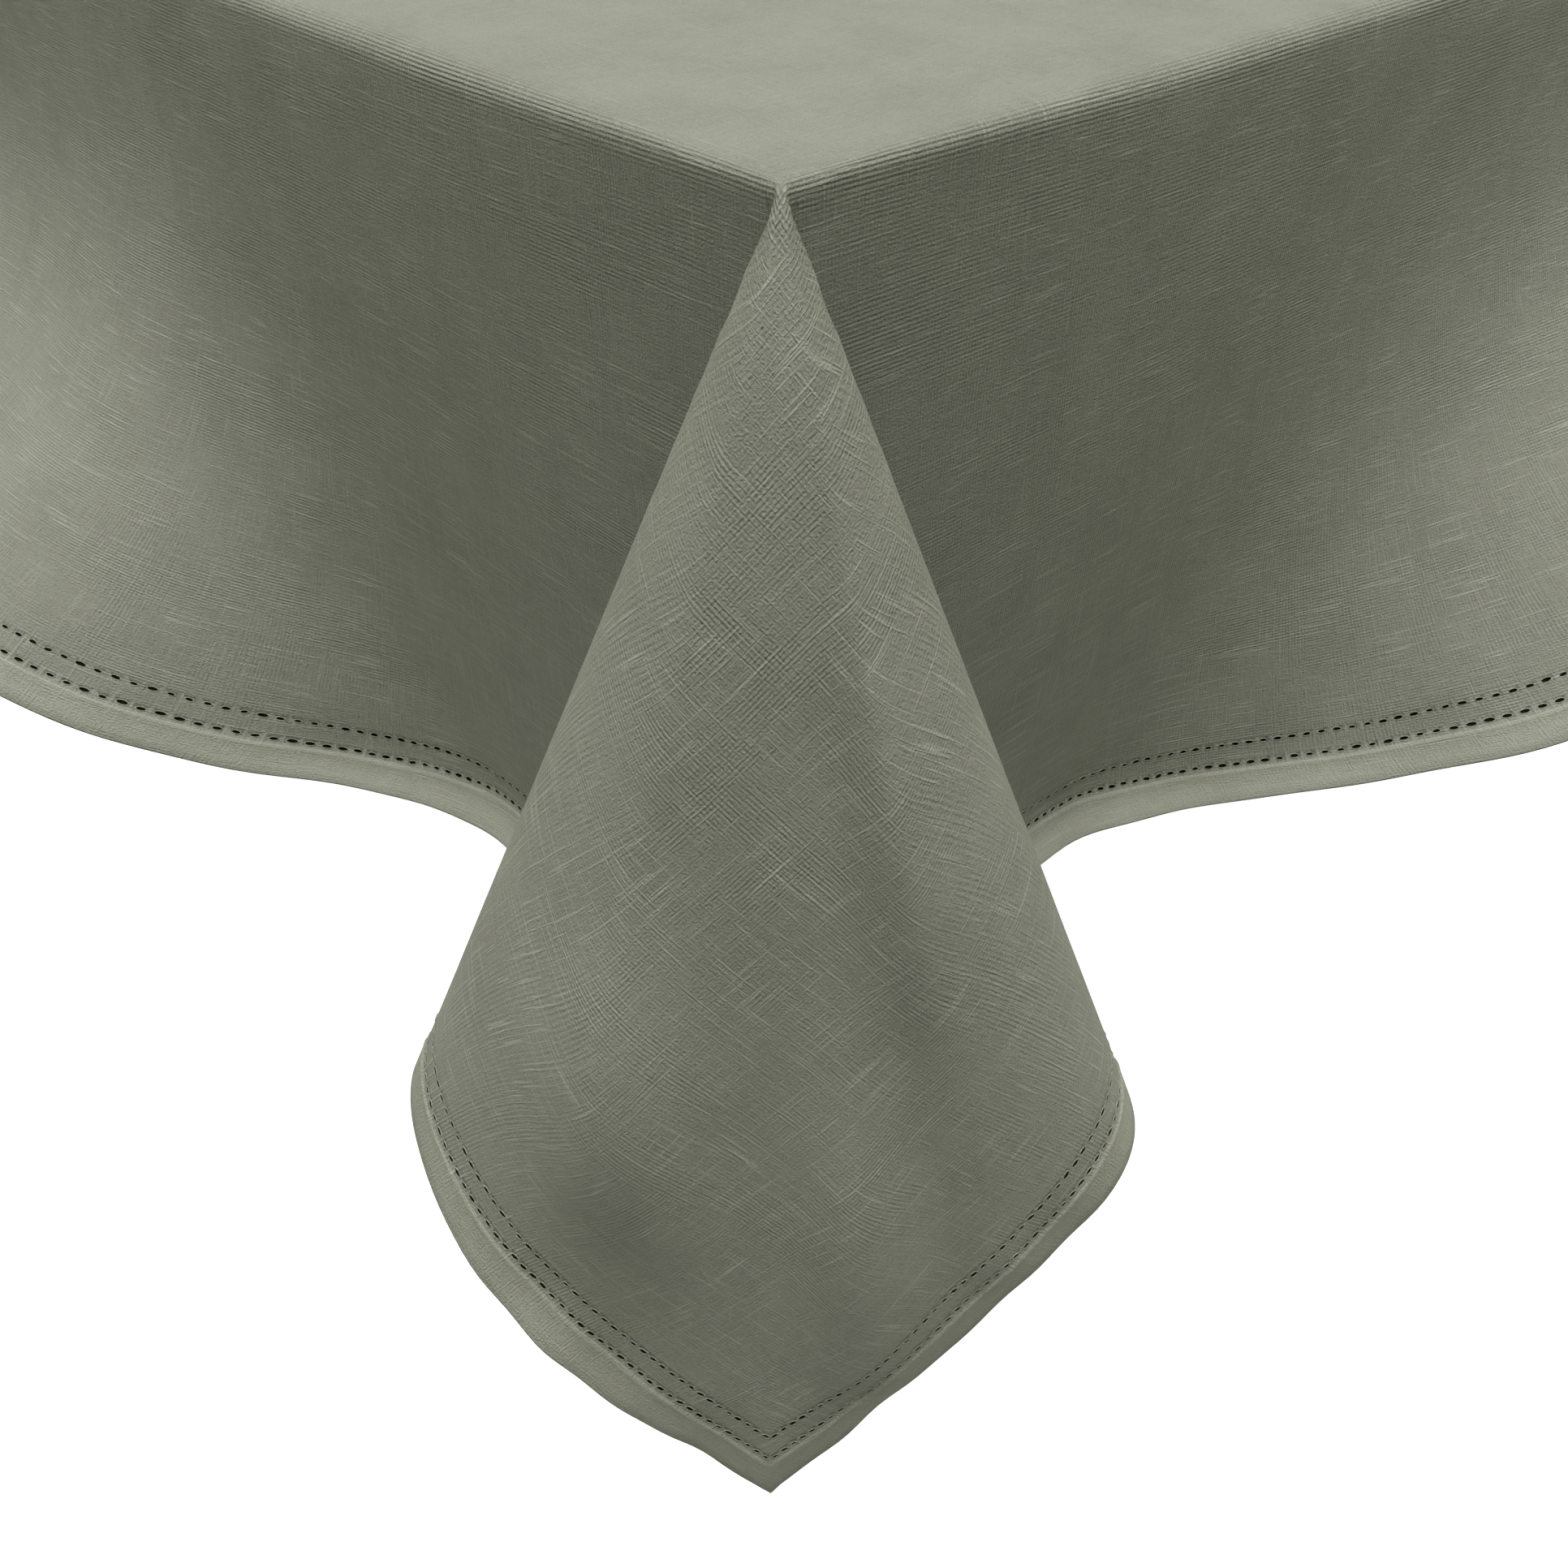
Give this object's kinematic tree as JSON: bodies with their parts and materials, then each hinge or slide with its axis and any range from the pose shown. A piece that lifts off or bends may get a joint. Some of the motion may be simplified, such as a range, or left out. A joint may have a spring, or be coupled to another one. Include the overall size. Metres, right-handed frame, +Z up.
{
  "type": "tablecloth on a table",
  "caption": "Rectangular table under a hemstitched linen cloth that hangs over all sides, with folded kite-shaped corners.",
  "frame": {"origin": "on the floor under the middle of the table", "axes": "+Z up, +X along the table's length"},
  "size_m": [2.0058, 1.4972, 0.7518],
  "materials": {
    "wood": "oiled oak",
    "steel": "zinc-plated",
    "nylon": "moulded nylon",
    "linen": "slub plain weave, sage green",
    "thread": "matt sewing thread, sage green"
  },
  "bodies": {
    "table": {"table_top": "wood", "apron_front": "wood", "apron_back": "wood", "apron_left": "wood", "apron_right": "wood", "centre_rail": "wood", "leg_front_left": "wood", "leg_front_right": "wood", "leg_back_left": "wood", "leg_back_right": "wood", "brace_front_left": "wood", "brace_front_right": "wood", "brace_back_left": "wood", "brace_back_right": "wood", "hanger_bolts": "steel", "bolt_washers": "steel", "wing_nuts": "steel", "brace_screws": "steel", "top_clips": "steel", "clip_screws": "steel", "leg_glides": "nylon"},
    "tablecloth": {"cloth_top": "linen", "skirt_front": "linen", "skirt_back": "linen", "skirt_left": "linen", "skirt_right": "linen", "drape_front_left": "linen", "drape_front_right": "linen", "drape_back_left": "linen", "drape_back_right": "linen", "hem_front": "linen", "hem_back": "linen", "hem_left": "linen", "hem_right": "linen", "hemstitch_front": "thread", "hemstitch_back": "thread", "hemstitch_left": "thread", "hemstitch_right": "thread"}
  },
  "joints": [
    {"name": "cloth_lift", "type": "slide", "parent": "table", "child": "tablecloth", "axis": [0, 0, 1], "range_m": [0, 0.45]}
  ]
}
